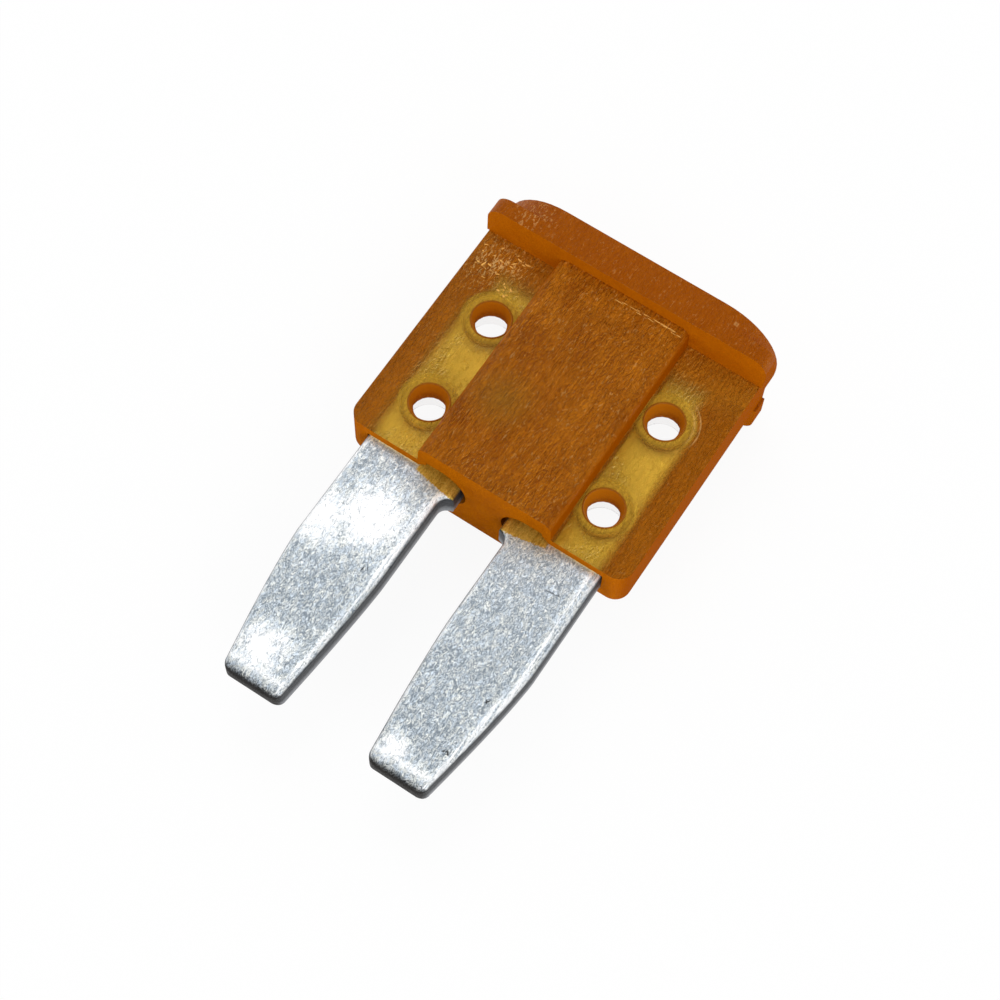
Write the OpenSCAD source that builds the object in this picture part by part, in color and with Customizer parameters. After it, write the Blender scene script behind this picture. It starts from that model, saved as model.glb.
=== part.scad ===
// Two-leg automotive blade fuse: a clear amber housing staked onto one stamped metal element.
// It lies on its back. X runs across the width, Y from the blade tips to the head, Z up out of
// the front face. The origin is at the middle of the footprint, on the resting plane.

/* [Overall] */
// Length from blade tip to head
overall_l = 15.3; // [14.9:0.1:15.9]
// Width over the collar under the head
overall_w = 8.8; // [8.76:0.02:8.9]
// Thickness of the head, front to back
head_t = 3.8; // [3.6:0.1:4.2]

/* [Housing] */
// Length of blade that stands out of the housing
blade_out = 7.4; // [7:0.1:7.7]
// Thickness of the collar along the length
collar_h = 0.5; // [0.4:0.05:0.6]
// Thickness of the round-ended cap above the collar
cap_h = 0.55; // [0.4:0.05:0.7]
// How far the collar stands out beyond the cap at each end
collar_lip = 0.08; // [0.06:0.01:0.2]
// Width of the thin flanges, edge to edge
flange_w = 8.66; // [8.4:0.02:8.7]
// Thickness of the flanges
flange_t = 1.44; // [1.4:0.02:1.6]
// Width of the bulge at its face
bulge_w = 4.12; // [3.9:0.02:4.14]
// Widening of the bulge from its face to the flange, each side
bulge_draft = 0.04; // [0.02:0.01:0.05]
// Thickness of the bulge, front to back
bulge_t = 2.9; // [2.8:0.05:3.1]
// Wall of the bulge round the link chamber
chamber_wall = 0.36; // [0.3:0.02:0.4]
// Thickness of the closed bottom between the blades
floor_h = 0.7; // [0.6:0.05:0.8]

/* [Stake holes] */
// Distance between the two columns of holes
hole_pitch_x = 5.5; // [5.5:0.02:5.56]
// Height of the lower row of holes, as a share of the body under the collar
row_low = 0.226; // [0.215:0.001:0.235]
// Height of the upper row of holes, as a share of the body under the collar
row_high = 0.664; // [0.65:0.001:0.675]
// Diameter of the holes at the front face
hole_d = 1.1; // [1:0.02:1.14]
// Diameter of the holes at their narrowest, level with the front of the metal
neck_d = 0.86; // [0.8:0.02:0.9]
// Diameter of the holes at the back face
hole_back_d = 1.28; // [1.2:0.02:1.3]
// Outer diameter of the plastic posts that fill the holes of the metal
post_d = 1.46; // [1.42:0.01:1.5]

/* [Element] */
// Thickness of the blades
metal_t = 0.8; // [0.7:0.02:0.82]
// Width of each blade
blade_w = 2.64; // [2.6:0.02:2.66]
// Gap between the two blades
blade_gap = 2.04; // [2:0.02:2.1]
// Width of each blade at its tip
tip_w = 1.78; // [1.7:0.02:2]
// Length over which the blades narrow to the tip
taper_l = 4.2; // [3.6:0.1:4.6]
// How much the coined tip is thinned on each face, at its very end
tip_bevel = 0.26; // [0.2:0.01:0.3]
// Length over which the coined tip rounds off
tip_bevel_l = 0.36; // [0.3:0.02:0.44]
// Width of the fusible link
link_w = 0.5; // [0.4:0.05:0.6]
// Thickness of the fusible link
link_t = 0.3; // [0.24:0.02:0.4]
// Play between the metal and the plastic
play = 0.02; // [0.01:0.01:0.03]

/* [Hidden] */
$fn = 48;
eps = 0.01;
mid_z = head_t / 2;
tip_y = -overall_l / 2;
top_y = overall_l / 2;
base_y = tip_y + blade_out;
collar_y = top_y - cap_h - collar_h;
cap_y = top_y - cap_h;
body_l = collar_y - base_y;
cap_w = overall_w - 2 * collar_lip;
cap_r = head_t / 2 - 0.1;
collar_r = 0.5;
flange_r = 0.45;
bulge_r = 0.3;
chamber_w = bulge_w - 2 * chamber_wall;
chamber_t = bulge_t - 2 * chamber_wall;
chamber_y = base_y + floor_h;
chamber_l = collar_y - chamber_y - 0.25;
leg_in = blade_gap / 2;
leg_out = leg_in + blade_w;
leg_top = collar_y - 0.25;
shoulder_in = 0.72;
shoulder_y = base_y - 0.36;
shoulder_r = leg_in - shoulder_in;
foot_top = base_y + 0.22 * body_l;
mouth_r = 0.8;
mouth_x = 1.36;
mouth_l = 0.45;
notch_r = 0.32;
notch_y = base_y + 0.8 * body_l;
rows = [base_y + row_low * body_l, base_y + row_high * body_l];
front_wall = (flange_t - metal_t) / 2;
metal_hole_d = post_d + 2 * play;
tip_in = leg_in + (blade_w - tip_w) * 0.36;
tip_out = tip_in + tip_w;
tip_r = 0.28;
top_cut = 0.5;
step_in = 0.35;
taper_steps = 10;
bevel_steps = 6;
taper_power = 1.3;
link_r = 0.5;
link_low = base_y + 0.32 * body_l;
link_high = base_y + 0.76 * body_l;

// A flat rectangle centred on the origin, with its four corners rounded to r
module rounded_flat(w, h, r) {
    square([w, h - 2 * r], center = true);
    square([w - 2 * r, h], center = true);
    for (x = [-1, 1], y = [-1, 1])
        translate([x * (w / 2 - r), y * (h / 2 - r)])
            circle(r);
}

// Sweeps a flat drawn across the width and thickness along Y, from y upward by l
module along_y(y, l) {
    translate([0, y + l, mid_z])
        rotate([90, 0, 0])
            linear_extrude(l)
                children();
}

// Raises a flat drawn across the width and length into a sheet of thickness t at mid height
module sheet(t) {
    translate([0, 0, mid_z - t / 2])
        linear_extrude(t)
            children();
}

// Repeats a shape drawn on the right leg on both legs
module both_legs() {
    for (side = [0, 1])
        mirror([side, 0, 0])
            children();
}

// Places its children at the two stake holes of the right leg
module at_stakes() {
    for (y = rows)
        translate([hole_pitch_x / 2, y, 0])
            children();
}

// Section of the bulge: a flat hexagon, widest at mid height, with its four face corners rounded
module bulge_section() {
    side_w = bulge_w + 2 * bulge_draft;
    hull_x = bulge_w / 2 - bulge_r;
    polygon([
        [side_w / 2, 0],
        [bulge_w / 2, bulge_t / 2 - bulge_r],
        [hull_x, bulge_t / 2],
        [-hull_x, bulge_t / 2],
        [-bulge_w / 2, bulge_t / 2 - bulge_r],
        [-side_w / 2, 0],
        [-bulge_w / 2, bulge_r - bulge_t / 2],
        [-hull_x, -bulge_t / 2],
        [hull_x, -bulge_t / 2],
        [bulge_w / 2, bulge_r - bulge_t / 2],
    ]);
    for (x = [-1, 1], z = [-1, 1])
        translate([x * hull_x, z * (bulge_t / 2 - bulge_r)])
            circle(bulge_r);
}

// Section of the collar: between its four corner ears it is flush with the flanges
module collar_section() {
    difference() {
        rounded_flat(overall_w, head_t, collar_r);
        for (x = [-1, 1])
            translate([x * (flange_w + head_t) / 2, 0])
                square([head_t, flange_t], center = true);
    }
}

// The flange plate, with its two lower corners rounded
module flange_flat() {
    translate([-flange_w / 2, base_y + flange_r])
        square([flange_w, body_l - flange_r + eps]);
    translate([flange_r - flange_w / 2, base_y])
        square([flange_w - 2 * flange_r, 2 * flange_r]);
    for (x = [-1, 1])
        translate([x * (flange_w / 2 - flange_r), base_y + flange_r])
            circle(flange_r);
}

// Outside of the housing: head, collar, flanges and bulge in one solid
module housing_outside() {
    along_y(cap_y - eps, cap_h + eps)
        rounded_flat(cap_w, head_t, cap_r);
    along_y(collar_y, collar_h)
        collar_section();
    sheet(flange_t)
        flange_flat();
    along_y(base_y, body_l + eps)
        bulge_section();
}

// Slot that the right leg lies in, open at the bottom of the housing
module leg_slot_flat() {
    translate([mouth_x, base_y - eps])
        square([leg_out + play - mouth_x, leg_top + play - base_y + eps]);
}

// Mouth in the closed bottom round the inner shoulder of the right leg, round at its inner end
module mouth_section() {
    translate([mouth_x, 0])
        circle(mouth_r);
    translate([mouth_x, -mouth_r])
        square([mouth_l, 2 * mouth_r]);
}

// Everything that is hollow inside the housing
module housing_hollow() {
    along_y(chamber_y, chamber_l)
        rounded_flat(chamber_w, chamber_t, bulge_r);
    both_legs() {
        sheet(metal_t + 2 * play)
            leg_slot_flat();
        along_y(base_y - eps, floor_h + 2 * eps)
            mouth_section();
    }
}

// Hole through one stake post: it narrows through the front wall and widens from there to the back
module stake_hole() {
    neck_z = mid_z + metal_t / 2;
    back_z = mid_z - flange_t / 2;
    translate([0, 0, neck_z])
        cylinder(h = front_wall + eps, d1 = neck_d, d2 = hole_d);
    translate([0, 0, back_z - eps])
        cylinder(h = neck_z - back_z + 2 * eps, d1 = hole_back_d, d2 = neck_d);
}

module housing() {
    color([0.75, 0.42, 0.1, 0.85])
    difference() {
        union() {
            difference() {
                housing_outside();
                housing_hollow();
            }
            both_legs()
                sheet(flange_t - front_wall)
                    at_stakes()
                        circle(d = post_d);
        }
        both_legs()
            at_stakes()
                stake_hole();
    }
}

// One edge of the tapered part of a blade: a curve that leaves x_top gently and reaches x_tip
function taper_edge(x_top, x_tip) = [
    for (i = [0:taper_steps])
        let (share = i / taper_steps)
            [x_top + (x_tip - x_top) * pow(share, taper_power), tip_y + taper_l - (taper_l - tip_r) * share]
];

function reversed(points) = [for (i = [len(points) - 1:-1:0]) points[i]];

// Outline of the right leg from blade tip to its upper end inside the housing
module leg_flat() {
    polygon(concat(
        [
            [tip_in + tip_r, tip_y],
            [tip_out - tip_r, tip_y],
        ],
        reversed(taper_edge(leg_out, tip_out)),
        [
            [leg_out, leg_top - top_cut],
            [leg_out - top_cut, leg_top],
            [leg_in + step_in, leg_top],
            [leg_in + step_in, foot_top],
            [shoulder_in, foot_top],
            [shoulder_in, shoulder_y],
            [leg_in, shoulder_y],
        ],
        taper_edge(leg_in, tip_in)
    ));
    for (x = [tip_in + tip_r, tip_out - tip_r])
        translate([x, tip_y + tip_r])
            circle(tip_r);
    // fillet between the blade and its shoulder
    difference() {
        translate([shoulder_in, shoulder_y - shoulder_r])
            square([shoulder_r + eps, shoulder_r + eps]);
        translate([shoulder_in, shoulder_y - shoulder_r])
            circle(shoulder_r);
    }
}

// Profile of the coining along the blade: a quarter of an ellipse from the face to the end
function coined_edge() = [
    for (i = [0:bevel_steps])
        let (share = i / bevel_steps)
            [tip_bevel_l * (1 - share), metal_t / 2 - tip_bevel * (1 - sqrt(1 - share * share))]
];

// Coining on the front and the back of the blade tips: what it takes away
module tip_bevels() {
    for (z = [0, 1])
        translate([0, tip_y, mid_z])
            mirror([0, 0, z])
                rotate([90, 0, 90])
                    translate([0, 0, -leg_out])
                        linear_extrude(2 * leg_out)
                            polygon(concat(
                                [[-eps, metal_t / 2 + eps], [tip_bevel_l, metal_t / 2 + eps]],
                                coined_edge(),
                                [[-eps, metal_t / 2 - tip_bevel]]
                            ));
}

// Fusible link: an S between the legs, with rounded bends
module link_flat() {
    reach = leg_in + 0.4;
    translate([-reach, link_high - link_w / 2])
        square([reach - link_r, link_w]);
    translate([link_r, link_low - link_w / 2])
        square([reach - link_r, link_w]);
    translate([-link_w / 2, link_low + link_r])
        square([link_w, link_high - link_low - 2 * link_r]);
    for (turn = [0, 1])
        translate([0, (link_low + link_high) / 2])
            rotate(180 * turn)
                translate([-link_r, (link_high - link_low) / 2 - link_r])
                    intersection() {
                        difference() {
                            circle(link_r + link_w / 2);
                            circle(link_r - link_w / 2);
                        }
                        square(2 * link_r);
                    }
}

module fuse_element() {
    color([0.78, 0.8, 0.82]) {
        difference() {
            both_legs()
                sheet(metal_t)
                    difference() {
                        leg_flat();
                        at_stakes()
                            circle(d = metal_hole_d);
                        translate([leg_out, notch_y])
                            circle(notch_r);
                    }
            tip_bevels();
        }
        sheet(link_t)
            link_flat();
    }
}

housing();
fuse_element();
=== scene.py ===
# %% [markdown]
# # A two-leg blade fuse
# The object is a clear amber housing staked onto one plated metal stamping. The construction comes
# in as a frame of exact solids. This lesson gives both pieces their edges, finish and small marks,
# and lights them as a product on a white table.

# %% Load the frame
import math
from types import SimpleNamespace

import bmesh
import bpy
from mathutils import Matrix, Vector


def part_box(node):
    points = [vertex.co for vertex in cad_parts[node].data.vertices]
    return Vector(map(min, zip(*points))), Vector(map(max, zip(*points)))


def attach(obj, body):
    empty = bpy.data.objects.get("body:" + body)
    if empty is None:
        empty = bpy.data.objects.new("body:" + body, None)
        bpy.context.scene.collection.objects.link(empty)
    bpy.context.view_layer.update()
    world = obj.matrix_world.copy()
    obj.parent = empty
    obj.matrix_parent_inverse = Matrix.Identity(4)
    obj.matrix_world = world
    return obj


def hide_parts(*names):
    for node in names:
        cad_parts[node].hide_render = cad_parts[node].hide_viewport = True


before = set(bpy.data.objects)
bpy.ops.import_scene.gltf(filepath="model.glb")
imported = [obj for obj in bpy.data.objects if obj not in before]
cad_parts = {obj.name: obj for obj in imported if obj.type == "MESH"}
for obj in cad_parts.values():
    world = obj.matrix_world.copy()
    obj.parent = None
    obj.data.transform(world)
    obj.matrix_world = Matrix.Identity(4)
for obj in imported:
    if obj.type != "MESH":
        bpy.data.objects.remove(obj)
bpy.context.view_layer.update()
MM = 0.001
print("nodes:", sorted(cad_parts))

# %% [markdown]
# ## Where things are
# The fuse lies on its back: X runs across it, Y from the blade tips to the head, and Z up. Its
# outer sizes are read from the boxes of the two nodes. Sizes that a box doesn't show, such as the
# width of the bulge and the rows of holes, are the construction's own.

# %% Measure the two nodes
HOUSING_LOW, HOUSING_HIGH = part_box("housing")
METAL_LOW, METAL_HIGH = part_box("fuse_element")
MID_Z = (METAL_LOW[2] + METAL_HIGH[2]) / 2
TIP_Y = METAL_LOW[1]
BASE_Y = HOUSING_LOW[1]
TOP_Y = HOUSING_HIGH[1]
METAL_HALF = (METAL_HIGH[2] - METAL_LOW[2]) / 2
FLANGE_HALF = 0.72 * MM
BULGE_WIDE = 4.12 * MM
BLADE_IN = 1.02 * MM
BLADE_OUT = METAL_HIGH[0]
HOLE_X = 2.75 * MM
BODY_LENGTH = 6.85 * MM
HOLE_ROWS = [BASE_Y + share * BODY_LENGTH for share in (0.226, 0.664)]
HOLE_R = 0.55 * MM
HOLE_BACK_R = 0.64 * MM
print("blades stand out by", round((BASE_Y - TIP_Y) / MM, 2), "mm")


# %% [markdown]
# ## Formulas in node trees
# Materials and shapes are both written as trees of nodes below, and most of their nodes are plain
# arithmetic. A small class stands for a value inside a tree, so that a formula can be written as a
# formula. The other helpers add a node, measure a place on the object and blend two colours.


# %% Values and nodes
class Field:
    """A value inside a node tree. Arithmetic on it adds the nodes that work it out."""

    def __init__(self, tree, socket):
        self.tree = tree
        self.socket = socket

    def work(self, operation, first, second=None, clamp=False):
        node = self.tree.nodes.new("ShaderNodeMath")
        node.operation = operation
        node.use_clamp = clamp
        plug(self.tree, node.inputs[0], first)
        if second is not None:
            plug(self.tree, node.inputs[1], second)
        return Field(self.tree, node.outputs[0])

    def __add__(self, other):
        return self.work("ADD", self, other)

    def __sub__(self, other):
        return self.work("SUBTRACT", self, other)

    def __rsub__(self, other):
        return self.work("SUBTRACT", other, self)

    def __mul__(self, other):
        return self.work("MULTIPLY", self, other)

    def __truediv__(self, other):
        return self.work("DIVIDE", self, other)

    def __pow__(self, other):
        return self.work("POWER", self, other)

    def __abs__(self):
        return self.work("ABSOLUTE", self)

    __radd__ = __add__
    __rmul__ = __mul__

    def at_least(self, other):
        return self.work("MAXIMUM", self, other)

    def at_most(self, other):
        return self.work("MINIMUM", self, other)

    def sign(self):
        return self.work("SIGN", self)

    def root(self):
        return self.work("SQRT", self.at_least(0.0))

    def share(self):
        """The same value kept between 0 and 1."""
        return self.work("ADD", self, 0.0, clamp=True)

    def rising(self, low, high):
        """0 below low, 1 above high, and a straight rise between them."""
        return ((self - low) / (high - low)).share()


def plug(tree, target, value):
    if isinstance(value, Field):
        tree.links.new(value.socket, target)
    elif isinstance(value, bpy.types.NodeSocket):
        tree.links.new(value, target)
    else:
        target.default_value = value


def add_node(tree, kind, **inputs):
    """A new node, with its inputs set by their names."""
    node = tree.nodes.new(kind)
    for name, value in inputs.items():
        plug(tree, open_socket(node.inputs, name.replace("_", " ")), value)
    return node


def open_socket(sockets, name):
    return next(socket for socket in sockets if socket.name == name and socket.enabled)


def axes_of(tree, vector):
    split = add_node(tree, "ShaderNodeSeparateXYZ", Vector=vector)
    return [Field(tree, output) for output in split.outputs]


# %% Helpers for materials
def empty_material(name):
    material = bpy.data.materials.new(name)
    material.use_nodes = True
    tree = material.node_tree
    tree.nodes.clear()
    output = tree.nodes.new("ShaderNodeOutputMaterial")
    return material, tree, output


def place_on_object(tree):
    return tree.nodes.new("ShaderNodeTexCoord").outputs["Object"]


def noise(tree, per_metre, detail=3.0, roughness=0.6, distortion=0.0, shift=(0.0, 0.0, 0.0)):
    """Noise with its own count of waves a metre along X, Y and Z, moved by a share of a wave."""
    mapping = add_node(
        tree, "ShaderNodeMapping", Vector=place_on_object(tree), Location=shift, Scale=per_metre
    )
    texture = add_node(
        tree,
        "ShaderNodeTexNoise",
        Vector=mapping.outputs[0],
        Scale=1.0,
        Detail=detail,
        Roughness=roughness,
        Distortion=distortion,
    )
    return Field(tree, texture.outputs[0])


def blend(tree, share, first, second):
    node = tree.nodes.new("ShaderNodeMix")
    node.data_type = "RGBA"
    for socket, value in zip((node.inputs[0], node.inputs[6], node.inputs[7]), (share, first, second)):
        plug(tree, socket, value)
    return node.outputs[2]


def bump(tree, height, distance, strength, below=None):
    node = add_node(tree, "ShaderNodeBump", Height=height, Distance=distance, Strength=strength)
    if below is not None:
        plug(tree, node.inputs["Normal"], below)
    return node.outputs["Normal"]


def near(tree, centre, reach):
    """1 at centre, falling to 0 at reach metres away."""
    distance = tree.nodes.new("ShaderNodeVectorMath")
    distance.operation = "DISTANCE"
    plug(tree, distance.inputs[0], place_on_object(tree))
    distance.inputs[1].default_value = centre
    return (1.0 - Field(tree, distance.outputs["Value"]) / reach).share()


def facing(tree):
    """How far the surface faces across and up the object, either way: 0 to 1 each."""
    geometry = tree.nodes.new("ShaderNodeNewGeometry")
    across, _, up = axes_of(tree, geometry.outputs["True Normal"])
    return abs(across), abs(up)


def mixed(tree, share, first, second):
    """A share of the second shader laid over the first."""
    node = add_node(tree, "ShaderNodeMixShader", Fac=share)
    plug(tree, node.inputs[1], first.outputs[0])
    plug(tree, node.inputs[2], second.outputs[0])
    return node


# %% [markdown]
# ## Amber plastic
# The housing is a clear resin with an amber dye. Over the metal it is only a thin wall, so light
# goes through it twice and comes back golden. A thick rim with nothing behind it keeps little but
# red. One volume absorption gives both, because it takes more the further the light travels: each
# colour's share of the absorption is one minus that colour.
#
# The bulge and the head aren't so clear. Their mould was left rough, so they scatter light at the
# surface and look an even brown. The finish is therefore a mix of a clear shader and a hazy one. The
# hazy one covers nearly all of the bulge and the head, and little of the plastic over the metal.
#
# The walls that stand upright could stay clear too, but they would mirror the white surroundings and
# look veiled. They get a matte brown instead. Shadow rays pass, so that light reaches the metal.

# %% Colours of the amber plastic
ABSORB_PER_METRE = 3500.0
ABSORB_COLOUR = (0.85, 0.66, 0.01, 1.0)
CLEAR_TINT = (0.98, 0.92, 0.6, 1.0)
SHADOW_TINT = (0.98, 0.96, 0.92, 1.0)
AMBER_GLOSS = (1.0, 0.55, 0.08, 1.0)
SPECULAR = 0.35
HAZE = (0.27, 0.054, 0.0, 1.0)
HAZE_LIGHT = (0.64, 0.2, 0.008, 1.0)
HAZE_GLINT = (0.95, 0.56, 0.2, 1.0)
PATCH_OLIVE = (0.3, 0.13, 0.012, 1.0)
STRIP_ORANGE = (0.34, 0.09, 0.002, 1.0)
UNDER_COLLAR = (0.52, 0.2, 0.012, 1.0)
FLANGE_HAZE = (0.34, 0.17, 0.016, 1.0)
FLANGE_GLINT = (0.85, 0.62, 0.2, 1.0)
RING_GOLD = (0.56, 0.31, 0.028, 1.0)
HOLE_WALL = (0.46, 0.14, 0.004, 1.0)
WALL_LOW = (0.42, 0.1, 0.001, 1.0)
WALL_HIGH = (0.6, 0.17, 0.002, 1.0)
SIDE_MATTE = (0.34, 0.075, 0.0, 1.0)
HEAD_MATTE = (0.3, 0.058, 0.0, 1.0)
WHITE = (1.0, 1.0, 1.0, 1.0)

# %% Places on the housing
HEAD_Y = TOP_Y - 1.05 * MM
SCUFF_PLACE = (-3.55 * MM, TOP_Y - 1.9 * MM, MID_Z + FLANGE_HALF)
# The second place gets painted glints, and small bumps, on the front of the head.
HEAD_GLINT_PLACE = (-3.2 * MM, TIP_Y + 14.75 * MM, METAL_HIGH[2] + 1.4 * MM)
PATCH_PLACE = (-1.0 * MM, TIP_Y + 9.8 * MM, 3.35 * MM)
# Centre of a small painted highlight on the cap.
CAP_GLINT_SPOT = (3.02 * MM, TIP_Y + 14.95 * MM)
print("the head starts", round((HEAD_Y - BASE_Y) / MM, 2), "mm above the bottom of the housing")

# %% [markdown]
# ### A survey of the housing
# The finish changes from part to part. The survey holds a share for each part, which is 1 on it and
# falls to 0 over a narrow slope beside it. It also holds the patterns that several layers use.
#
# The hazy surface is lumpy, and each lump catches light on one side. Soft lamps hardly show this on
# a bump map alone. So the same noise is also taken a third of a wave further on, and the difference
# of the two is above 0 on the lit side of a lump and below 0 on the other.


# %% Patterns in the plastic
def find_patterns(tree, at):
    at.streaks = noise(tree, (14000, 1100, 14000), detail=5, roughness=0.7, distortion=0.5)
    at.grain = noise(tree, (16000, 9000, 16000), detail=4, roughness=0.65)
    at.clouds = noise(tree, (700, 450, 700), detail=3)
    at.ripples, beside = [
        noise(tree, (12500, 4600, 12500), roughness=0.55, distortion=1.2, shift=shift)
        for shift in ((0.0, 0.0, 0.0), (0.3, -0.12, 0.0))
    ]
    lit = (at.ripples - beside) * (0.55 + 3.2 * at.clouds.rising(0.4, 0.64))
    at.lit = lit.at_least(-0.25) * (1.0 - at.on_head * 0.55) * (1.0 - at.on_bulge * 0.35)


# %% Head, bulge, scuffs and painted glints
def find_large_parts(tree, at):
    at.on_head = at.y.rising(HEAD_Y - 0.04 * MM, HEAD_Y + 0.02 * MM)
    beside_bulge = abs(at.x).rising(BULGE_WIDE / 2 + 0.01 * MM, BULGE_WIDE / 2 + 0.12 * MM)
    at.on_bulge = (1.0 - beside_bulge) * (1.0 - at.on_head)
    # Scuffs with painted glints in the upper left corner, and a place of painted glints on the head.
    at.scuffed = near(tree, SCUFF_PLACE, 1.5 * MM)
    at.scuffed = at.scuffed.at_least(near(tree, HEAD_GLINT_PLACE, 0.8 * MM))


# %% [markdown]
# The legs of the stamping shine through the flanges as two golden bands. Outside them, and in a
# zone under the collar, there is no metal behind the plastic and it turns orange. These borders are
# moved to and fro by the ripples, because the eye sees them through the lumpy surface.


# %% Golden bands over the metal
def find_gold(at):
    from_middle = abs(at.x) + (at.ripples - 0.5) * 0.3 * MM
    from_middle = from_middle + 0.35 * MM * at.y.rising(TIP_Y + 12.1 * MM, TIP_Y + 12.8 * MM)
    at.beside_metal = from_middle.rising(3.3 * MM, 3.75 * MM).at_most(at.up.rising(0.5, 0.8))
    at.under_collar = at.y.rising(HEAD_Y - 1.45 * MM, HEAD_Y - 0.75 * MM)
    at.on_gold = (1.0 - at.beside_metal.at_least(at.under_collar)) * (1.0 - at.on_bulge)


# %% [markdown]
# The stake posts fill the holes of the metal, so a darker ring lies round each hole. Two bright
# curved lines beside the upper hole on the right are painted highlights. Behind the narrowest part,
# the hole is a polished cone, which mirrors the white table and makes the hole look bright.


# %% Holes, rings and painted highlights
def find_holes(at):
    from_row = abs(at.y - HOLE_ROWS[0]).at_most(abs(at.y - HOLE_ROWS[1]))
    at.from_hole = (from_row**2.0 + (abs(at.x) - HOLE_X) ** 2.0).root()
    at.on_hole_wall = 1.0 - at.from_hole.rising(HOLE_R - 0.01 * MM, HOLE_R + 0.05 * MM)
    ring = 1.0 - at.from_hole.rising(HOLE_R + 0.1 * MM, HOLE_R + 0.34 * MM)
    at.on_ring = ring * (1.0 - at.on_hole_wall) * (1.0 - at.on_bulge)
    # Two painted highlight curves beside the upper hole on the right.
    arcs = 1.0 - abs(at.from_hole - 0.8 * MM).rising(0.01 * MM, 0.05 * MM)
    arcs = arcs.at_least(1.0 - abs(at.from_hole - 0.96 * MM).rising(0.005 * MM, 0.03 * MM))
    arcs = arcs * at.x.rising(HOLE_X + 0.3 * MM, HOLE_X + 0.55 * MM)
    upper = at.y.rising(HOLE_ROWS[1] - 0.35 * MM, HOLE_ROWS[1] - 0.05 * MM)
    at.arcs = arcs * upper * at.ripples
    hole_back = 1.0 - at.from_hole.rising(HOLE_BACK_R, HOLE_BACK_R + 0.03 * MM)
    hole_back = hole_back * (1.0 - at.up.rising(0.5, 0.8))
    at.on_hole_back = hole_back * (1.0 - at.z.rising(MID_Z - 0.05 * MM, MID_Z))


# %% The whole survey
def survey_housing(tree):
    at = SimpleNamespace()
    at.x, at.y, at.z = axes_of(tree, place_on_object(tree))
    at.across, at.up = facing(tree)
    find_large_parts(tree, at)
    find_patterns(tree, at)
    find_gold(at)
    find_holes(at)
    return at


# %% [markdown]
# ### Colour of the haze
# The brown is darker and lighter with the streaks, the blotches and the lit sides of the lumps. On
# top of it come painted glints in the scuffs and on the lumps, an olive patch on the bulge, the orange
# strips, the golden bands with painted highlights, the rings round the holes and two painted highlight
# curves, each laid over the ones before.


# %% Light in the brown
def lightness(tree, at):
    fine = (at.streaks.rising(0.5, 0.8) * at.on_bulge).at_least(at.grain.rising(0.55, 0.8) * 0.6)
    blotches = noise(tree, (1900, 900, 1900), detail=4, roughness=0.7, distortion=0.6)
    broad = noise(tree, (1100, 520, 1100), detail=2, roughness=0.5, distortion=0.4)
    long_streaks = noise(tree, (5200, 240, 5200), detail=3, roughness=0.6, distortion=0.15)
    long_streaks = long_streaks.rising(0.56, 0.72) * broad.rising(0.35, 0.6) * at.on_bulge
    light = fine * 0.55 + blotches.rising(0.35, 0.7) * 0.35
    light = light + at.ripples.rising(0.36, 0.64) * 0.2 + at.lit + 0.11
    light = light + (broad.rising(0.3, 0.7) - 0.5) * 0.24 + long_streaks * 0.22
    return (light * (1.0 - at.on_head * 0.45)).share()


# %% Glints
def glints_on(tree, at):
    # Painted highlights: glints in the scuffs and on lit lump sides, and a bright square on the cap.
    glints = noise(tree, (15000, 7000, 15000), detail=2, distortion=1.0)
    glints = (glints + at.scuffed * 0.1).rising(0.61, 0.68) * (0.3 + 0.7 * at.scuffed)
    glints = glints.at_least(at.lit.rising(0.42, 0.75) * (at.clouds.rising(0.42, 0.6) * 0.6))
    from_glint_spot = abs(at.x - CAP_GLINT_SPOT[0]).at_least(abs(at.y - CAP_GLINT_SPOT[1]))
    square = 1.0 - from_glint_spot.rising(0.05 * MM, 0.07 * MM)
    return glints.at_least(square * at.z.rising(MID_Z, 2.0 * MID_Z) * 0.6)


# %% Layers of colour
def haze_colour(tree, at, light):
    plain = (1.0 - at.on_bulge) * (1.0 - at.on_head) * (1.0 - at.scuffed)
    # The golden bands take painted highlights on the lit sides of the lumps.
    gold = blend(tree, at.lit.rising(0.05, 0.35), FLANGE_HAZE, FLANGE_GLINT)
    colour = blend(tree, light, HAZE, HAZE_LIGHT)
    for share, layer in (
        (glints_on(tree, at), HAZE_GLINT),
        (near(tree, PATCH_PLACE, 1.1 * MM) * 0.75, PATCH_OLIVE),
        (at.beside_metal * plain * 0.55, STRIP_ORANGE),
        (at.under_collar * plain * 0.4, UNDER_COLLAR),
        (at.on_gold, gold),
        (at.on_hole_wall, HOLE_WALL),
        (at.on_ring.rising(0.0, 0.2), RING_GOLD),
        (at.arcs, HAZE_GLINT),
    ):
        colour = blend(tree, share, colour, layer)
    return colour


def wall_colour(tree, at, light):
    colour = blend(tree, light, WALL_LOW, WALL_HIGH)
    colour = blend(tree, at.across.rising(0.4, 0.9), colour, SIDE_MATTE)
    colour = blend(tree, at.on_hole_wall, colour, HOLE_WALL)
    return blend(tree, at.on_head * at.up.rising(0.5, 0.9), colour, HEAD_MATTE)


# %% How much haze shows
def haze_share(at):
    """The largest of the shares that the parts ask for."""
    haze = at.on_bulge.at_least(at.on_head) * (0.62 + 0.3 * at.clouds)
    haze = haze.at_least(0.1 + 0.1 * at.clouds)
    haze = haze.at_least(at.on_gold * (abs(at.lit).rising(0.03, 0.3) * 0.55))
    haze = haze.at_least((at.beside_metal * 0.72).at_least(at.under_collar * 0.85))
    haze = haze.at_least((at.on_hole_wall * 0.9).at_least(at.on_ring * 0.85))
    return haze.at_least(at.arcs * 0.9)


# %% [markdown]
# ### The shaders together
# The ripples are raised on the hazy shader only. On the clear one the same relief would bend the
# light away from the metal and darken the gold.


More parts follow.
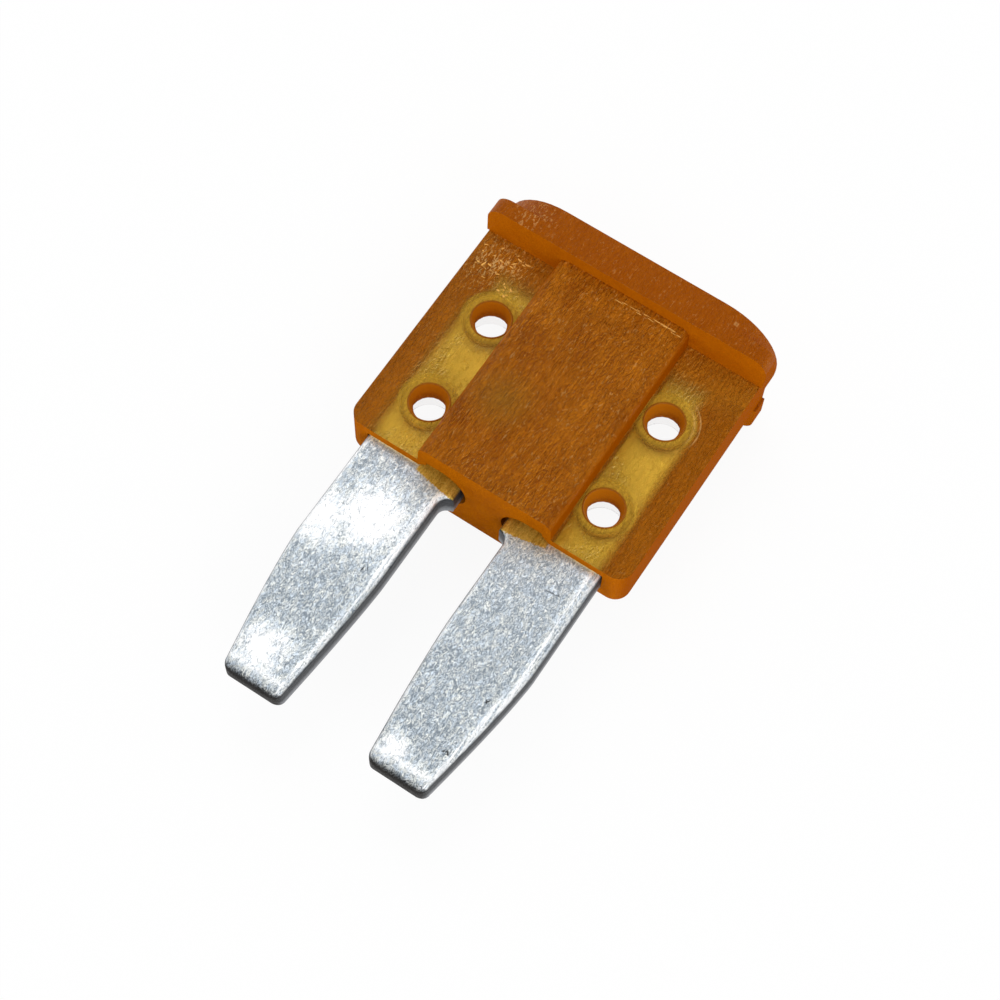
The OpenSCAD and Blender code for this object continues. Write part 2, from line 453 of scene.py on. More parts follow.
# %% Amber plastic material
def amber_plastic():
    material, tree, output = empty_material("amber_plastic")
    at = survey_housing(tree)
    light = lightness(tree, at)
    crumbs = noise(tree, (8000, 4200, 8000), detail=2, roughness=0.5)
    smooth = bump(tree, at.streaks * at.on_bulge, 0.00006, 0.7)
    smooth = bump(tree, at.grain, 0.00003, 0.4, smooth)
    rippled = bump(tree, at.ripples * at.up.rising(0.5, 0.9), 0.00014, 1.0, smooth)
    crumbled = bump(tree, crumbs * at.scuffed, 0.00008, 1.0, smooth)
    rough = 0.2 + 0.22 * at.streaks
    gloss = {"Specular_IOR_Level": SPECULAR, "Specular_Tint": AMBER_GLOSS}
    hazy = add_node(
        tree,
        "ShaderNodeBsdfPrincipled",
        Base_Color=haze_colour(tree, at, light),
        Roughness=rough,
        Normal=rippled,
        IOR=1.5,
        **gloss,
    )
    clear = add_node(
        tree,
        "ShaderNodeBsdfPrincipled",
        Base_Color=CLEAR_TINT,
        Roughness=rough * 0.8,
        Normal=crumbled,
        IOR=1.45,
        Transmission_Weight=1.0,
        **gloss,
    )
    matte = add_node(
        tree, "ShaderNodeBsdfDiffuse", Color=wall_colour(tree, at, light), Normal=crumbled
    )
    polished = add_node(tree, "ShaderNodeBsdfGlossy", Color=WHITE, Roughness=0.08)
    passing = add_node(tree, "ShaderNodeBsdfTransparent", Color=SHADOW_TINT)
    path = tree.nodes.new("ShaderNodeLightPath")
    on_wall = (1.0 - at.up.rising(0.15, 0.75)).at_least(at.on_hole_wall)
    on_wall = on_wall.at_least(at.on_head * 0.5)
    body = mixed(tree, haze_share(at), clear, hazy)
    body = mixed(tree, on_wall * 0.97, body, matte)
    body = mixed(tree, at.on_hole_back * 0.92, body, polished)
    body = mixed(tree, path.outputs["Is Shadow Ray"], body, passing)
    dye = add_node(
        tree, "ShaderNodeVolumeAbsorption", Color=ABSORB_COLOUR, Density=ABSORB_PER_METRE
    )
    plug(tree, output.inputs["Surface"], body.outputs[0])
    plug(tree, output.inputs["Volume"], dye.outputs[0])
    return material


AMBER = amber_plastic()
print("made", AMBER.name, "with", len(AMBER.node_tree.nodes), "nodes")


# %% Amber ridges
def amber_ridge(name, colour, roughness):
    """Finish of thin raised marks in the plastic, which catch more light than the face under them."""
    material, tree, output = empty_material(name)
    grain = noise(tree, (20000, 9000, 20000), detail=2)
    shader = add_node(
        tree,
        "ShaderNodeBsdfPrincipled",
        Base_Color=colour,
        Roughness=roughness,
        IOR=1.5,
        Specular_IOR_Level=SPECULAR,
        Specular_Tint=AMBER_GLOSS,
        Normal=bump(tree, grain, 0.00002, 0.5),
    )
    plug(tree, output.inputs["Surface"], shader.outputs[0])
    return material


STREAK_FINISH = amber_ridge("amber_streak", (0.42, 0.13, 0.01, 1.0), 0.3)
# The glint finish is coloured far lighter than the plastic: a painted highlight.
GLINT_FINISH = amber_ridge("amber_glint", (0.78, 0.42, 0.11, 1.0), 0.12)
RIM_FINISH = amber_ridge("amber_rim", (0.27, 0.08, 0.004, 1.0), 0.3)

# %% [markdown]
# ## Plated zinc
# The stamping is zinc with a bright plating that has gone cloudy. Up close it is a fine mottle of
# light and dark grains, drawn out along the blade. A few places are painted nearly white as
# highlights, and painted highlights lie as bright bands on the rolled edges of the blades and the
# coined tips. The sides were sheared, so they are darker and rougher, with a painted highlight along
# their lower half. Each tip is nearly black over its last 0.06 to 0.2 mm, with a ragged border.
#
# The bright bands follow the curved edges of the blades. The sweep that makes the blades knows how
# far across a blade each point is, from -1 to 1, and stores it as an attribute called edge.


# %% Places on the metal
# Places painted nearly white as highlights.
HIGHLIGHT_SPOTS = [
    ((-2.2, 5.5), 1.65),
    ((-2.4, 1.0), 1.2),
    ((-3.5, 4.8), 1.45),
    ((1.8, 0.6), 0.7),
]
SCRATCH_FROM = (2.65 * MM, 6.28 * MM)
SCRATCH_HALF = 0.21 * MM
SCRATCH_SLOPE = 0.12
FILM_FROM = 6.98 * MM
print(len(HIGHLIGHT_SPOTS), "highlighted places, in mm from the middle and the tips, and their reach")


# %% Survey of the metal
def survey_metal(tree):
    at = SimpleNamespace()
    at.x, at.y, at.z = axes_of(tree, place_on_object(tree))
    at.up = facing(tree)[1]
    at.above_tip = at.y - TIP_Y
    at.mottle = noise(tree, (11000, 6000, 11000), detail=4, roughness=0.7, distortion=2.2)
    at.scratches = noise(tree, (15000, 600, 15000), detail=4, roughness=0.65, distortion=0.2)
    return at


# %% Brightness of the plating, with painted highlights
def wear_and_highlights(tree, at):
    """How bright the plating is: at random, and painted highlights on some places, edges and tips."""
    clouds = noise(tree, (700, 500, 700), detail=3, roughness=0.6)
    ragged = noise(tree, (2600, 1700, 2600), detail=5, roughness=0.7, distortion=0.8)
    bright = 0.0
    for (place_x, place_y), reach in HIGHLIGHT_SPOTS:
        centre = (place_x * MM, TIP_Y + place_y * MM, MID_Z + METAL_HALF)
        bright = near(tree, centre, reach * MM).at_least(bright)
    bright = bright * (0.1 + 1.8 * ragged)
    stored = tree.nodes.new("ShaderNodeAttribute")
    stored.attribute_name = "edge"
    edge = Field(tree, stored.outputs["Fac"]) * at.x.sign()
    # Painted highlights: bright bands along the rolled edges and across the coined tips.
    edge_light = edge.rising(0.7, 0.84).at_least((edge * -1.0).rising(0.86, 0.96))
    tip_light = (1.0 - abs(at.above_tip - 0.42 * MM) / (0.3 * MM)).share()
    worn_and_lit = (bright * 1.5 + clouds * 0.6 - 0.5).share()
    worn_and_lit = worn_and_lit.at_least(edge_light * at.scratches.rising(0.35, 0.6))
    return worn_and_lit.at_least(tip_light * 0.75)


# %% Mottle of the faces
def plating_colour(tree, at, worn_and_lit, grain):
    tint = noise(tree, (7000, 4000, 7000), detail=2, distortion=1.0)
    duller = at.above_tip.rising(2.5 * MM, 6.0 * MM)
    pale = blend(tree, tint.rising(0.4, 0.6), (0.66, 0.74, 0.82, 1.0), (0.86, 0.88, 0.85, 1.0))
    pale = blend(tree, duller * 0.05, pale, (0.25, 0.27, 0.3, 1.0))
    pale = blend(tree, worn_and_lit.rising(0.3, 0.9), pale, (0.98, 0.99, 1.0, 1.0))
    dark = blend(tree, duller, (0.22, 0.26, 0.3, 1.0), (0.26, 0.3, 0.34, 1.0))
    return blend(tree, grain, dark, pale)


# %% [markdown]
# Inside the housing the plating has stayed clean and shows the direction in which the sheet was
# rolled. One thin scratch crosses the right blade. Over the inner shoulders lies a film of amber
# with a ragged border. The film could be a thin piece of its own, but it is thinner than any edge
# that would show, so it is painted.


# %% Faces and sides
def face_colour(tree, at, plating):
    sheltered = at.y.rising(BASE_Y - 0.05 * MM, BASE_Y + 0.05 * MM)
    rolled = (at.mottle.rising(0.38, 0.62) * 0.5 + at.scratches.rising(0.35, 0.65) * 0.5).share()
    inside = blend(tree, rolled, (0.72, 0.8, 0.72, 1.0), WHITE)
    colour = blend(tree, sheltered, plating, inside)
    along_scratch = at.x - SCRATCH_FROM[0]
    off_line = abs(
        at.above_tip - SCRATCH_FROM[1] - along_scratch * SCRATCH_SLOPE + (at.mottle - 0.5) * 0.1 * MM
    )
    from_middle = abs(along_scratch - SCRATCH_HALF)
    scratch = 1.0 - off_line.rising(0.008 * MM, 0.025 * MM)
    scratch = scratch * (1.0 - from_middle.rising(0.18 * MM, 0.22 * MM))
    scratch = scratch * at.z.rising(MID_Z, MID_Z + 0.1 * MM)
    colour = blend(tree, scratch * 0.8, colour, (0.1, 0.11, 0.12, 1.0))
    film_edge = FILM_FROM + (abs(at.x) - 0.65 * MM) * 0.19 + (at.mottle - 0.5) * 0.25 * MM
    film = (at.above_tip - film_edge).rising(0.0, 0.02 * MM)
    film = film * (1.0 - abs(at.x).rising(2.0 * MM, 2.05 * MM))
    film_colour = blend(tree, rolled, (0.3, 0.17, 0.012, 1.0), (0.8, 0.58, 0.14, 1.0))
    return blend(tree, film, colour, film_colour)


def side_colour(tree, at):
    colour = blend(tree, at.mottle, (0.015, 0.016, 0.018, 1.0), (0.1, 0.105, 0.115, 1.0))
    # A painted highlight along the lower half of each side.
    lower_side_highlight = (MID_Z - at.z).rising(0.0, 0.25 * MM) * (0.6 + 0.8 * at.mottle)
    return blend(tree, lower_side_highlight.share() * 0.8, colour, (0.36, 0.37, 0.39, 1.0))


# %% Plated zinc material
def plated_zinc():
    material, tree, output = empty_material("plated_zinc")
    at = survey_metal(tree)
    worn_and_lit = wear_and_highlights(tree, at)
    grain = (at.mottle + worn_and_lit * 0.16).rising(0.42, 0.62)
    on_side = 1.0 - at.up.rising(0.35, 0.8)
    face = face_colour(tree, at, plating_colour(tree, at, worn_and_lit, grain))
    colour = blend(tree, on_side, face, side_colour(tree, at))
    # Each tip is made nearly black over its last 0.06 to 0.2 mm, with a ragged border.
    ragged_end = at.above_tip + (at.mottle - 0.5) * 0.25 * MM
    dark_tip = 1.0 - ragged_end.rising(0.06 * MM, 0.2 * MM)
    colour = blend(tree, dark_tip * 0.92, colour, (0.02, 0.017, 0.015, 1.0))
    normal = bump(tree, at.scratches, 0.00003, 0.5)
    normal = bump(tree, at.mottle, 0.00003, 0.6, normal)
    shader = add_node(
        tree,
        "ShaderNodeBsdfPrincipled",
        Base_Color=colour,
        Roughness=0.5 - 0.12 * grain + on_side * 0.14,
        Normal=normal,
        Metallic=1.0,
    )
    plug(tree, output.inputs["Surface"], shader.outputs[0])
    return material


ZINC = plated_zinc()
print("made", ZINC.name, "with", len(ZINC.node_tree.nodes), "nodes")


# %% Dark nicks
def dark_nick():
    material, tree, output = empty_material("dark_nick")
    grain = noise(tree, (9000, 9000, 9000), detail=2)
    shader = add_node(
        tree,
        "ShaderNodeBsdfPrincipled",
        Base_Color=blend(tree, grain, (0.02, 0.022, 0.025, 1.0), (0.09, 0.095, 0.1, 1.0)),
        Roughness=0.55,
        Metallic=0.6,
    )
    plug(tree, output.inputs["Surface"], shader.outputs[0])
    return material


NICK_FINISH = dark_nick()

# %% [markdown]
# ## Recipes in Geometry Nodes
# What repeats, or follows a rule, is made by a tree of geometry nodes. Each tree is a recipe with
# named inputs. The same few lines give a recipe its inputs, run it on a piece with the values for
# that piece, and turn the result into a plain mesh.


# %% Helpers for recipes
def new_recipe(name, **inputs):
    """A geometry tree with a geometry in and out, and one more input for each name and kind."""
    tree = bpy.data.node_groups.new(name, "GeometryNodeTree")
    tree.interface.new_socket("Geometry", in_out="INPUT", socket_type="NodeSocketGeometry")
    for label, kind in inputs.items():
        title = label.replace("_", " ")
        tree.interface.new_socket(title, in_out="INPUT", socket_type="NodeSocket" + kind)
    tree.interface.new_socket("Geometry", in_out="OUTPUT", socket_type="NodeSocketGeometry")
    given = tree.nodes.new("NodeGroupInput")
    result = tree.nodes.new("NodeGroupOutput")
    return tree, given.outputs, result.inputs[0]


def finish_recipe(tree, shape, material, result):
    real = add_node(tree, "GeometryNodeRealizeInstances", Geometry=shape)
    painted = add_node(
        tree, "GeometryNodeSetMaterial", Geometry=real.outputs[0], Material=material
    )
    plug(tree, result, painted.outputs[0])


def flatten(piece):
    """Turns the modifiers' result into the piece's own mesh, with its faces pointing outwards."""
    depsgraph = bpy.context.evaluated_depsgraph_get()
    mesh = bpy.data.meshes.new_from_object(piece.evaluated_get(depsgraph))
    piece.modifiers.clear()
    piece.data = mesh
    build = bmesh.new()
    build.from_mesh(mesh)
    bmesh.ops.recalc_face_normals(build, faces=build.faces)
    build.to_mesh(mesh)
    build.free()
    return piece


def follow_recipe(tree, piece, **settings):
    modifier = piece.modifiers.new(tree.name, "NODES")
    modifier.node_group = tree
    for item in tree.interface.items_tree:
        key = item.name.replace(" ", "_")
        if item.in_out == "INPUT" and key in settings:
            modifier[item.identifier] = settings[key]
    return flatten(piece)


def new_piece(name, mesh=None):
    piece = bpy.data.objects.new(name, mesh or bpy.data.meshes.new(name))
    bpy.context.scene.collection.objects.link(piece)
    return piece


def smooth_by_angle(piece, degrees):
    piece.data.shade_smooth()
    piece.data.set_sharp_from_angle(angle=math.radians(degrees))


# %% [markdown]
# ## Soft edges
# A moulded edge is never razor sharp, and its thin highlight is what makes a small object look
# real. The exact solid has sharp edges, so a node's copy has its doubles merged, its flat faces
# joined up, and a narrow bevel on every sharp edge. The copy then stands for the node.


# %% Copy a node with softened edges
def softened(node, name, width, segments, material, above=None):
    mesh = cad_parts[node].data.copy()
    mesh.name = name
    build = bmesh.new()
    build.from_mesh(mesh)
    bmesh.ops.remove_doubles(build, verts=build.verts, dist=0.002 * MM)
    if above is not None:
        everything = build.verts[:] + build.edges[:] + build.faces[:]
        bmesh.ops.bisect_plane(
            build, geom=everything, plane_co=(0, above, 0), plane_no=(0, 1, 0), clear_inner=True
        )
    bmesh.ops.dissolve_limit(
        build, angle_limit=math.radians(0.5), verts=build.verts, edges=build.edges, delimit={"NORMAL"}
    )
    build.to_mesh(mesh)
    build.free()
    mesh.materials.clear()
    mesh.materials.append(material)
    piece = new_piece(name, mesh)
    bevel = piece.modifiers.new("edge", "BEVEL")
    bevel.width = width
    bevel.segments = segments
    bevel.limit_method = "ANGLE"
    bevel.angle_limit = math.radians(35)
    bevel.use_clamp_overlap = True
    return flatten(piece)


# %% The housing
housing = softened("housing", "amber_housing", 0.07 * MM, 3, AMBER)
smooth_by_angle(housing, 32)
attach(housing, "root")
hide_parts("housing")
print("housing:", len(housing.data.polygons), "faces")

# %% [markdown]
# ## The element and its blades
# The legs inside the housing keep the exact shape of the construction. The blades follow a rule, so
# they are swept: a tube of rings runs from the tip into the housing, and the rule says how wide and
# how thick each ring is.
#
# Down the blade, both edges leave the full width along a power curve and end in round corners. The
# inner edge steps out to the shoulder along a quarter circle. Over the last part of the tip both
# faces round off together, where they were coined.


# %% Outline of a blade
def blade_outline(value, y):
    """The inner edge, the outer edge and the depth of the coining, at y metres from the blade's end."""
    tapering = (value["Taper length"] - y) / (value["Taper length"] - value["Tip corner"])
    narrowing = tapering.share() ** value["Taper power"]
    into_corner = (value["Tip corner"] - y).at_least(0.0)
    corner = value["Tip corner"] - (value["Tip corner"] ** 2.0 - into_corner**2.0).root()
    into_fillet = (y - value["Fillet start"]).at_least(0.0).at_most(value["Fillet"])
    step = value["Fillet"] - (value["Fillet"] ** 2.0 - into_fillet**2.0).root()
    inner = value["Full inner"] + (value["Tip inner"] - value["Full inner"]) * narrowing
    inner = inner + corner - step
    outer = value["Full outer"] + (value["Tip outer"] - value["Full outer"]) * narrowing - corner
    before_face = (1.0 - y / value["Bevel length"]).share()
    coined = value["Tip bevel"] * (1.0 - (1.0 - before_face**2.0).root())
    return inner, outer, coined


# %% [markdown]
# Each ring starts as a circle. Its points go to a square, crowd towards the corners, and are then
# drawn in to a rectangle with rounded corners. The punch drew the front edge round and left the back
# edge nearly sharp, so the front takes the larger radius.


# %% One ring of a blade
def rounded_ring(value, cosine, sine, half_width, half_height):
    """A point of the ring across and up, and its place across the face from -1 to 1."""
    reach = abs(cosine).at_least(abs(sine))
    flat_x = cosine / reach
    flat_z = sine / reach
    flat_x = flat_x.sign() * (1.0 - (1.0 - abs(flat_x)) ** 2.0)
    flat_z = flat_z.sign() * (1.0 - (1.0 - abs(flat_z)) ** 2.0)
    on_front = flat_z.rising(-0.01, 0.01)
    radius = value["Back edge"] + (value["Front edge"] - value["Back edge"]) * on_front
    radius = radius.at_most(half_height * 0.8)
    square_x = flat_x * half_width
    square_z = flat_z * half_height
    core_x = square_x.at_most(half_width - radius).at_least(radius - half_width)
    core_z = square_z.at_most(half_height - radius).at_least(radius - half_height)
    away_x = square_x - core_x
    away_z = square_z - core_z
    away = (away_x**2.0 + away_z**2.0).root().at_least(NEARLY_ZERO)
    return core_x + away_x / away * radius, core_z + away_z / away * radius, flat_x


# %% [markdown]
# One blade mirrored gives the other. The sweep leaves the first inside out, and mirroring turns the
# second the right way, so only the first has its faces flipped. A slow ripple, a few microns high,
# breaks up the reflections.


# %% Both blades, rippled
def both_sides(tree, blade):
    mirrored = add_node(
        tree, "GeometryNodeTransform", Geometry=blade.outputs[0], Scale=(-1.0, 1.0, 1.0)
    )
    outward = add_node(tree, "GeometryNodeFlipFaces", Mesh=blade.outputs[0])
    both = tree.nodes.new("GeometryNodeJoinGeometry")
    tree.links.new(outward.outputs[0], both.inputs[0])
    tree.links.new(mirrored.outputs[0], both.inputs[0])
    return both


def rippled(tree, shape, height):
    waves = tree.nodes.new("ShaderNodeTexNoise")
    plug(tree, waves.inputs["Scale"], RIPPLES_PER_METRE)
    plug(tree, waves.inputs["Detail"], 2.0)
    normal = tree.nodes.new("GeometryNodeInputNormal")
    offset = tree.nodes.new("ShaderNodeVectorMath")
    offset.operation = "SCALE"
    plug(tree, offset.inputs[0], normal.outputs[0])
    plug(tree, offset.inputs["Scale"], (Field(tree, waves.outputs[0]) - 0.5) * height)
    return add_node(
        tree, "GeometryNodeSetPosition", Geometry=shape.outputs[0], Offset=offset.outputs[0]
    )


# %% Recipe for the blades
RING_POINTS = 88
RINGS = 190
RIPPLES_PER_METRE = 950.0
NEARLY_ZERO = 0.0000001


def blades_recipe():
    tree, given, result = new_recipe(
        "swept_blades",
        Length="Float",
        Taper_length="Float",
        Taper_power="Float",
        Full_inner="Float",
        Full_outer="Float",
        Tip_inner="Float",
        Tip_outer="Float",
        Tip_corner="Float",
        Tip_bevel="Float",
        Bevel_length="Float",
        Fillet="Float",
        Fillet_start="Float",
        Thickness="Float",
        Front_edge="Float",
        Back_edge="Float",
        Ripple="Float",
        Start="Vector",
        Material="Material",
    )
    value = {socket.name: Field(tree, socket) for socket in given if socket.name}
    tube = tree.nodes.new("GeometryNodeMeshCylinder")
    tube.fill_type = "NGON"
    plug(tree, tube.inputs["Vertices"], RING_POINTS)
    plug(tree, tube.inputs["Side Segments"], RINGS)
    plug(tree, tube.inputs["Radius"], 1.0)
    plug(tree, tube.inputs["Depth"], 1.0)
    place = tree.nodes.new("GeometryNodeInputPosition")
    cosine, sine, height = axes_of(tree, place.outputs[0])

    y = (height + 0.5) ** 1.2 * value["Length"]
    inner, outer, coined = blade_outline(value, y)
    half_height = value["Thickness"] * 0.5 - coined
    ring_x, ring_z, across = rounded_ring(value, cosine, sine, (outer - inner) * 0.5, half_height)
    spot = add_node(tree, "ShaderNodeCombineXYZ", X=(inner + outer) * 0.5 + ring_x, Y=y, Z=ring_z)
    moved = tree.nodes.new("ShaderNodeVectorMath")
    plug(tree, moved.inputs[0], spot.outputs[0])
    plug(tree, moved.inputs[1], value["Start"])
    marked = add_node(
        tree,
        "GeometryNodeStoreNamedAttribute",
        Geometry=tube.outputs["Mesh"],
        Name="edge",
        Value=across,
    )
    shaped = add_node(
        tree, "GeometryNodeSetPosition", Geometry=marked.outputs[0], Position=moved.outputs[0]
    )
    blades = rippled(tree, both_sides(tree, shaped), value["Ripple"])
    whole = tree.nodes.new("GeometryNodeJoinGeometry")
    tree.links.new(blades.outputs[0], whole.inputs[0])
    tree.links.new(given["Geometry"], whole.inputs[0])
    finish_recipe(tree, whole.outputs[0], given["Material"], result)
    return tree


BLADES = blades_recipe()
print("recipe", BLADES.name, "has", len(BLADES.nodes), "nodes")

# %% Sweep the blades onto the legs
SEAM_Y = BASE_Y + 0.32 * MM
SHOULDER_IN = 0.72 * MM
element = softened("fuse_element", "zinc_element", 0.045 * MM, 2, ZINC, above=SEAM_Y)
follow_recipe(
    BLADES,
    element,
    Length=SEAM_Y - TIP_Y + 0.02 * MM,
    Taper_length=4.2 * MM,
    Taper_power=1.3,
    Full_inner=BLADE_IN,
    Full_outer=BLADE_OUT,
    Tip_inner=BLADE_IN + 0.31 * MM,
    Tip_outer=BLADE_IN + 2.09 * MM,
    Tip_corner=0.28 * MM,
    Tip_bevel=0.26 * MM,
    Bevel_length=0.36 * MM,
    Fillet=BLADE_IN - SHOULDER_IN,
    Fillet_start=BASE_Y - TIP_Y - 0.66 * MM,
    Thickness=METAL_HALF * 2 - 0.006 * MM,
    Front_edge=0.13 * MM,
    Back_edge=0.05 * MM,
    Ripple=0.008 * MM,
    Start=(0.0, TIP_Y + 0.004 * MM, MID_Z),
    Material=ZINC,
)
smooth_by_angle(element, 32)
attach(element, "root")
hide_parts("fuse_element")
print("element:", len(element.data.polygons), "faces")

# %% [markdown]
# ## Raised rims round the stake holes
# When the posts were pressed through the metal, a little plastic rose round each hole on the front.
# The four holes stand on a grid, so the recipe puts a ring at each corner of a grid.


# %% Recipe for the rims
def rims_recipe():
    tree, given, result = new_recipe(
        "stake_rims",
        Pitch_across="Float",
        Pitch_along="Float",
        Ring_radius="Float",
        Ring_thickness="Float",
        Middle="Vector",
        Material="Material",
    )
    corners = tree.nodes.new("GeometryNodeMeshGrid")
    plug(tree, corners.inputs["Vertices X"], 2)
    plug(tree, corners.inputs["Vertices Y"], 2)
    plug(tree, corners.inputs["Size X"], given["Pitch across"])
    plug(tree, corners.inputs["Size Y"], given["Pitch along"])
    moved = add_node(
        tree, "GeometryNodeTransform", Geometry=corners.outputs["Mesh"], Translation=given["Middle"]
    )
    circle = add_node(
        tree, "GeometryNodeCurvePrimitiveCircle", Resolution=56, Radius=given["Ring radius"]
    )
    section = add_node(
        tree, "GeometryNodeCurvePrimitiveCircle", Resolution=10, Radius=given["Ring thickness"]
    )
    ring = add_node(
        tree, "GeometryNodeCurveToMesh", Curve=circle.outputs[0], Profile_Curve=section.outputs[0]
    )
    rings = add_node(
        tree, "GeometryNodeInstanceOnPoints", Points=moved.outputs[0], Instance=ring.outputs[0]
    )
    finish_recipe(tree, rings.outputs[0], given["Material"], result)
    return tree


RIMS = rims_recipe()
rims = follow_recipe(
    RIMS,
    new_piece("stake_rims_front"),
    Pitch_across=HOLE_X * 2,
    Pitch_along=HOLE_ROWS[1] - HOLE_ROWS[0],
    Ring_radius=HOLE_R + 0.015 * MM,
    Ring_thickness=0.022 * MM,
    Middle=(0.0, (HOLE_ROWS[0] + HOLE_ROWS[1]) / 2, MID_Z + FLANGE_HALF),
    Material=RIM_FINISH,
)
smooth_by_angle(rims, 40)
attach(rims, "root")
print(rims.name, "has", len(rims.data.polygons), "faces")

# %% [markdown]
# ## Small marks
# One recipe scatters all small marks: fine ridges that the mould's tool lines left along the bulge,
# crumbs where the upper left flange has scuffs, coloured bright as painted glints, short painted
# glints along the bulge's edge under the head, and dark nicks in the blades. Each mark is a stretched
# ball sunk nearly to its middle in the face that carries it. The seed is fixed, so that the marks stay
# where they are.


# %% Recipe for scattered marks
def marks_recipe():
    tree, given, result = new_recipe(
        "scattered_marks",
        Count="Int",
        Low="Vector",
        High="Vector",
        Smallest="Vector",
        Largest="Vector",
        Turn="Float",
        Seed="Int",
        Material="Material",
    )

    def random_vector(low, high, extra_seed):
        node = tree.nodes.new("FunctionNodeRandomValue")
        node.data_type = "FLOAT_VECTOR"
        plug(tree, open_socket(node.inputs, "Min"), low)
        plug(tree, open_socket(node.inputs, "Max"), high)
        plug(tree, node.inputs["Seed"], Field(tree, given["Seed"]) + float(extra_seed))
        return open_socket(node.outputs, "Value")

    points = tree.nodes.new("GeometryNodePoints")
    plug(tree, points.inputs["Count"], given["Count"])
    plug(tree, points.inputs["Position"], random_vector(given["Low"], given["High"], 0))
    turn = Field(tree, given["Turn"])
    spin = axes_of(tree, random_vector((-1.0, -1.0, -1.0), (1.0, 1.0, 1.0), 1))[2] * turn
    rotation = add_node(tree, "ShaderNodeCombineXYZ", Z=spin)
    ball = tree.nodes.new("GeometryNodeMeshIcoSphere")
    plug(tree, ball.inputs["Radius"], 1.0)
    plug(tree, ball.inputs["Subdivisions"], 2)
    marks = add_node(
        tree,
        "GeometryNodeInstanceOnPoints",
        Points=points.outputs[0],
        Instance=ball.outputs["Mesh"],
        Rotation=rotation.outputs[0],
        Scale=random_vector(given["Smallest"], given["Largest"], 2),
    )
    finish_recipe(tree, marks.outputs[0], given["Material"], result)
    return tree


MARKS = marks_recipe()


def scatter(name, low, high, smallest, largest, count, turn, seed, material):
    """Marks between two corners, in millimetres from the middle, the blade tips and the table."""
    shift = Vector((0, TIP_Y / MM, 0))
    piece = follow_recipe(
        MARKS,
        new_piece(name),
        Count=count,
        Low=(Vector(low) + shift) * MM,
        High=(Vector(high) + shift) * MM,
        Smallest=Vector(smallest) * MM,
        Largest=Vector(largest) * MM,
        Turn=turn,
        Seed=seed,
        Material=material,
    )
    smooth_by_angle(piece, 60)
    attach(piece, "root")
    print(name, "has", len(piece.data.polygons), "faces")
    return piece


# %% Streaks along the bulge
BULGE_FRONT = 3.35
FLANGE_FRONT = 2.62
METAL_FRONT = 2.3
scatter(
    "bulge_streaks",
    (-1.7, 8.0, BULGE_FRONT - 0.001),
    (1.7, 13.9, BULGE_FRONT + 0.001),
    (0.002, 0.1, 0.002),
    (0.006, 0.9, 0.006),
    60,
    0.05,
    7,
    STREAK_FINISH,
)

# %% Scuffs in the corner, and painted glints on the edge under the head
scatter(
    "flange_scuffs",
    (-4.15, 12.7, FLANGE_FRONT - 0.002),
    (-2.7, 14.1, FLANGE_FRONT + 0.002),
    (0.004, 0.008, 0.003),
    (0.026, 0.095, 0.012),
    45,
    2.2,
    21,
    GLINT_FINISH,
)
scatter(
    "bulge_top_glints",
    (-0.2, 13.95, BULGE_FRONT - 0.002),
    (1.9, 14.04, BULGE_FRONT + 0.002),
    (0.03, 0.005, 0.003),
    (0.14, 0.012, 0.006),
    22,
    0.12,
    5,
    GLINT_FINISH,
)

# %% Nicks in the blades
for name, low, high, count, seed in (
    ("nicks_right_tip", (2.85, 1.1, METAL_FRONT - 0.003), (3.1, 1.55, METAL_FRONT - 0.001), 5, 3),
    ("nicks_right", (3.02, 2.7, METAL_FRONT - 0.003), (3.12, 2.95, METAL_FRONT - 0.001), 3, 11),
    ("nicks_left", (-1.75, 3.2, METAL_FRONT - 0.003), (-1.45, 4.4, METAL_FRONT - 0.001), 3, 17),
):
    scatter(
        name,
        low,
        high,
        (0.008, 0.02, 0.004),
        (0.024, 0.08, 0.008),
        count,
        1.2,
        seed,
        NICK_FINISH,
    )

# %% [markdown]
# ## Camera
# The photograph looks down on the fuse from its blade end and a little from its right. The camera
# is given by the angle that it looks from, how far it is turned about its own axis, and how far it
# stands from the middle of the fuse. All of these were solved from the outlines in the photograph.

# %% Place the camera
AZIMUTH = math.radians(30.18)
ELEVATION = math.radians(66.19)
ROLL = math.radians(3.38)
DISTANCE = 59.5 * MM
SLIDE_X = 0.1184 * MM
SLIDE_Y = -0.1807 * MM
LOOK_AT = Vector((0.0, 0.35 * MM, MID_Z))
SENSOR = 36.0
LENS = 2251.2 / 1000 * SENSOR

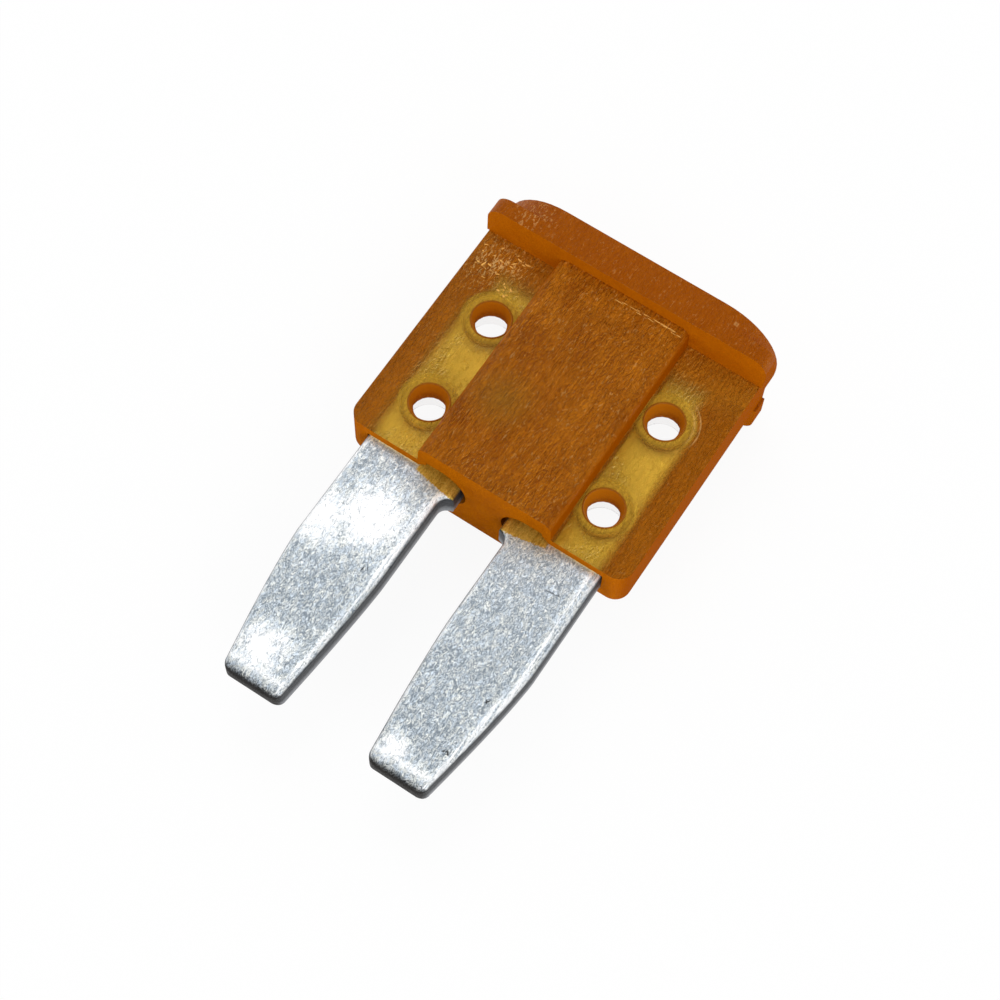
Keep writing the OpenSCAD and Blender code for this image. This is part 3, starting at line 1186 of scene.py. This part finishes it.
back = Vector(
    (
        math.sin(AZIMUTH) * math.cos(ELEVATION),
        -math.cos(AZIMUTH) * math.cos(ELEVATION),
        math.sin(ELEVATION),
    )
)
level = Vector((0, 0, 1)).cross(back).normalized()
upward = back.cross(level)
right = level * math.cos(ROLL) + upward * math.sin(ROLL)
up = back.cross(right)
camera_data = bpy.data.cameras.new("camera")
camera_data.sensor_width = SENSOR
camera_data.lens = LENS
camera_data.clip_start = 0.001
camera_data.clip_end = 10
camera = bpy.data.objects.new("camera", camera_data)
bpy.context.scene.collection.objects.link(camera)
place = LOOK_AT + back * DISTANCE + right * SLIDE_X + up * SLIDE_Y
camera.matrix_world = Matrix.Translation(place) @ Matrix((right, up, back)).transposed().to_4x4()
bpy.context.scene.camera = camera
print("camera at", [round(v / MM, 1) for v in place], "mm, lens", round(LENS, 1))

# %% [markdown]
# ## White table and soft light
# The table is white for the camera and for reflections, but it keeps some of the fuse's shadow. To
# other light it is a plain pale surface, so that it adds no more light than a real table does.


# %% Floor
def white_table():
    material, tree, output = empty_material("white_table")
    pale = add_node(tree, "ShaderNodeBsdfDiffuse", Color=(0.88, 0.88, 0.88, 1.0))
    white = add_node(tree, "ShaderNodeEmission", Color=WHITE, Strength=1.0)
    path = tree.nodes.new("ShaderNodeLightPath")
    seen = Field(tree, path.outputs["Is Camera Ray"])
    seen = seen.at_least(path.outputs["Is Glossy Ray"]).at_least(path.outputs["Is Transmission Ray"])
    surface = mixed(tree, seen * 0.92, pale, white)
    tree.links.new(surface.outputs[0], output.inputs["Surface"])
    return material


def make_floor(size):
    mesh = bpy.data.meshes.new("table")
    half = size / 2
    corners = [(-half, -half, 0), (half, -half, 0), (half, half, 0), (-half, half, 0)]
    mesh.from_pydata(corners, [], [(0, 1, 2, 3)])
    mesh.materials.append(white_table())
    floor = bpy.data.objects.new("table", mesh)
    floor.location.z = -0.00002
    bpy.context.scene.collection.objects.link(floor)
    return floor


floor = make_floor(2.0)


# %% Lamps and world
def area_lamp(name, position, target, size, power):
    data = bpy.data.lights.new(name, "AREA")
    data.shape = "DISK"
    data.size = size
    data.energy = power
    lamp = bpy.data.objects.new(name, data)
    lamp.location = position
    toward = Vector(target) - Vector(position)
    lamp.rotation_euler = toward.to_track_quat("-Z", "Y").to_euler()
    bpy.context.scene.collection.objects.link(lamp)
    return lamp


area_lamp("key", (-0.10, 0.12, 0.22), (0, 0, 0), 0.16, 0.16)
area_lamp("fill", (0.20, -0.16, 0.16), (0, 0, 0), 0.14, 0.24)

world = bpy.data.worlds.new("studio")
world.use_nodes = True
world.node_tree.nodes["Background"].inputs["Color"].default_value = (1, 1, 1, 1)
world.node_tree.nodes["Background"].inputs["Strength"].default_value = 0.8
bpy.context.scene.world = world
bpy.context.scene.view_settings.view_transform = "Standard"
